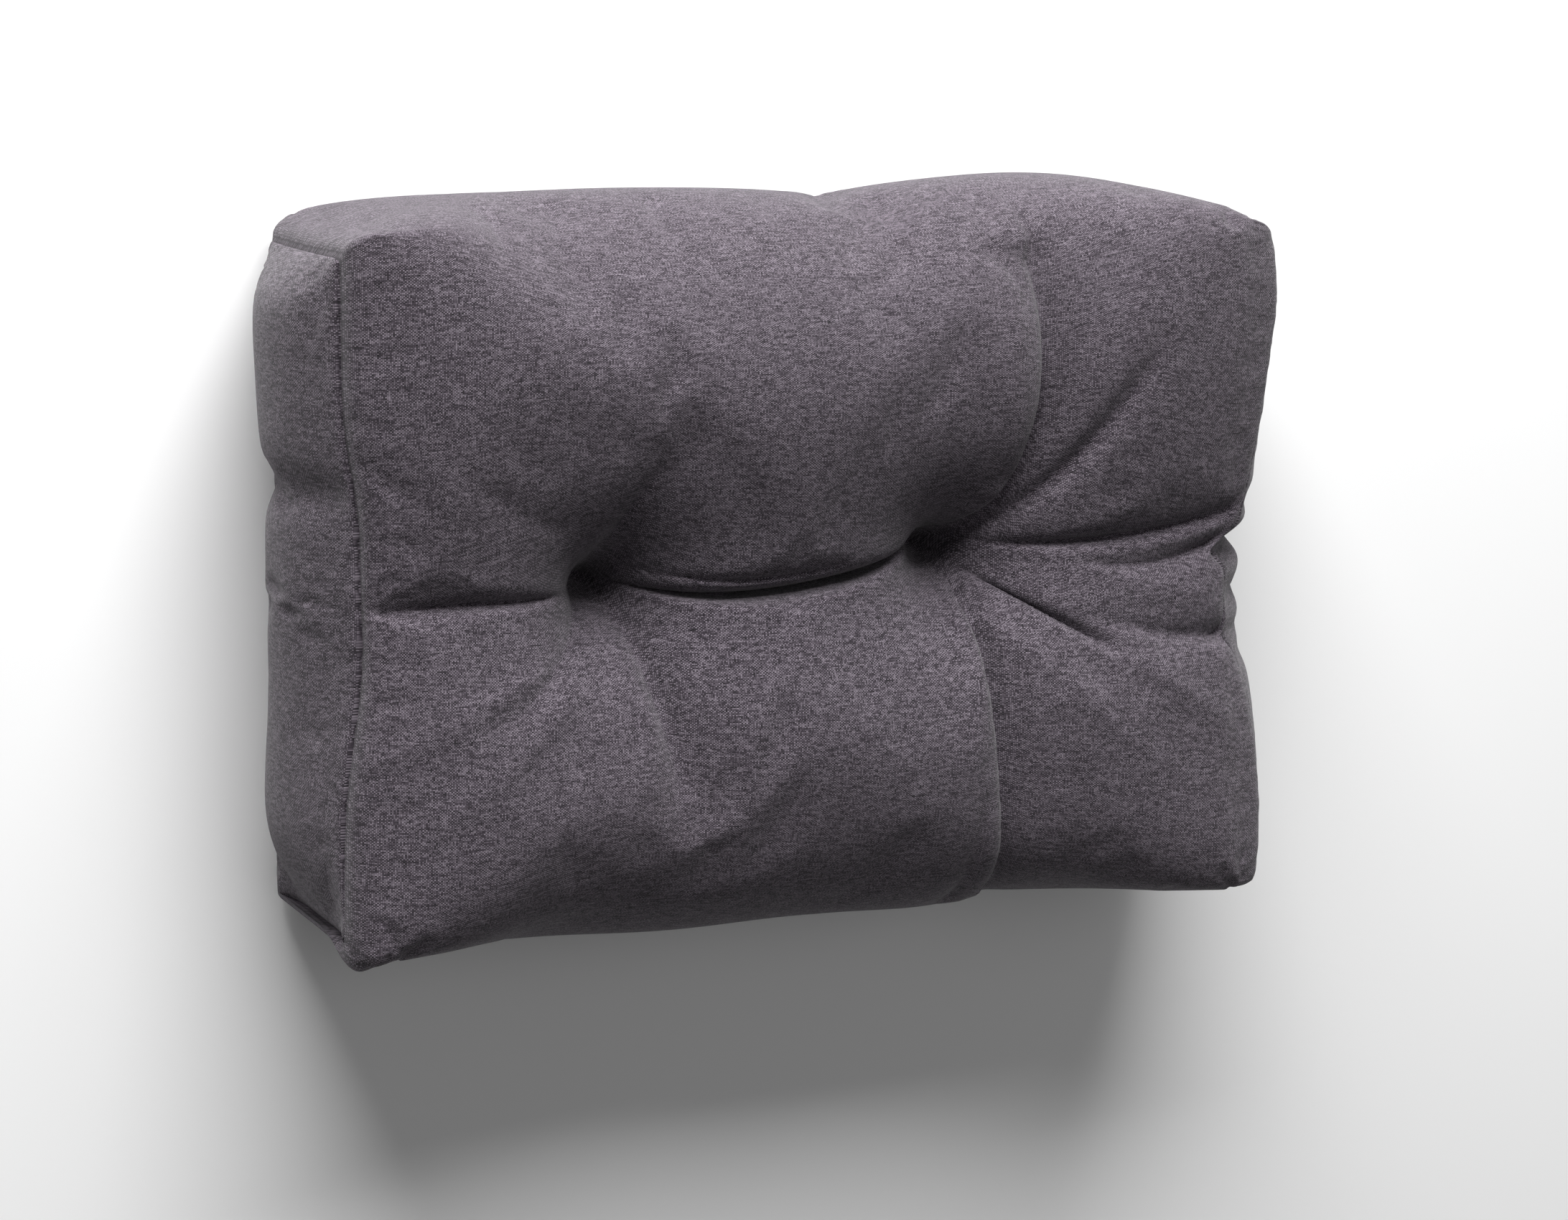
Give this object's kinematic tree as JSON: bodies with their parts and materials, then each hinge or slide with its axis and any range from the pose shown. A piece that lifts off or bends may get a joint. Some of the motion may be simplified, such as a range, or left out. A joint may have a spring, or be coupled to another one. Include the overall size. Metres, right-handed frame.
{
  "type": "tufted pallet back cushion",
  "caption": "Plump rectangular back cushion for pallet seating, boxed ends, deep tufts with radiating folds, charcoal cloth.",
  "frame": {"origin": "under the middle of the cushion, on the surface that its back lies on", "axes": "+X along the width, +Y towards the top edge, +Z out of the front"},
  "size_m": [0.6452, 0.4422, 0.2029],
  "materials": {
    "cover": "matt woven melange polyester"
  },
  "bodies": {
    "root": {"cushion": "cover"}
  },
  "joints": []
}
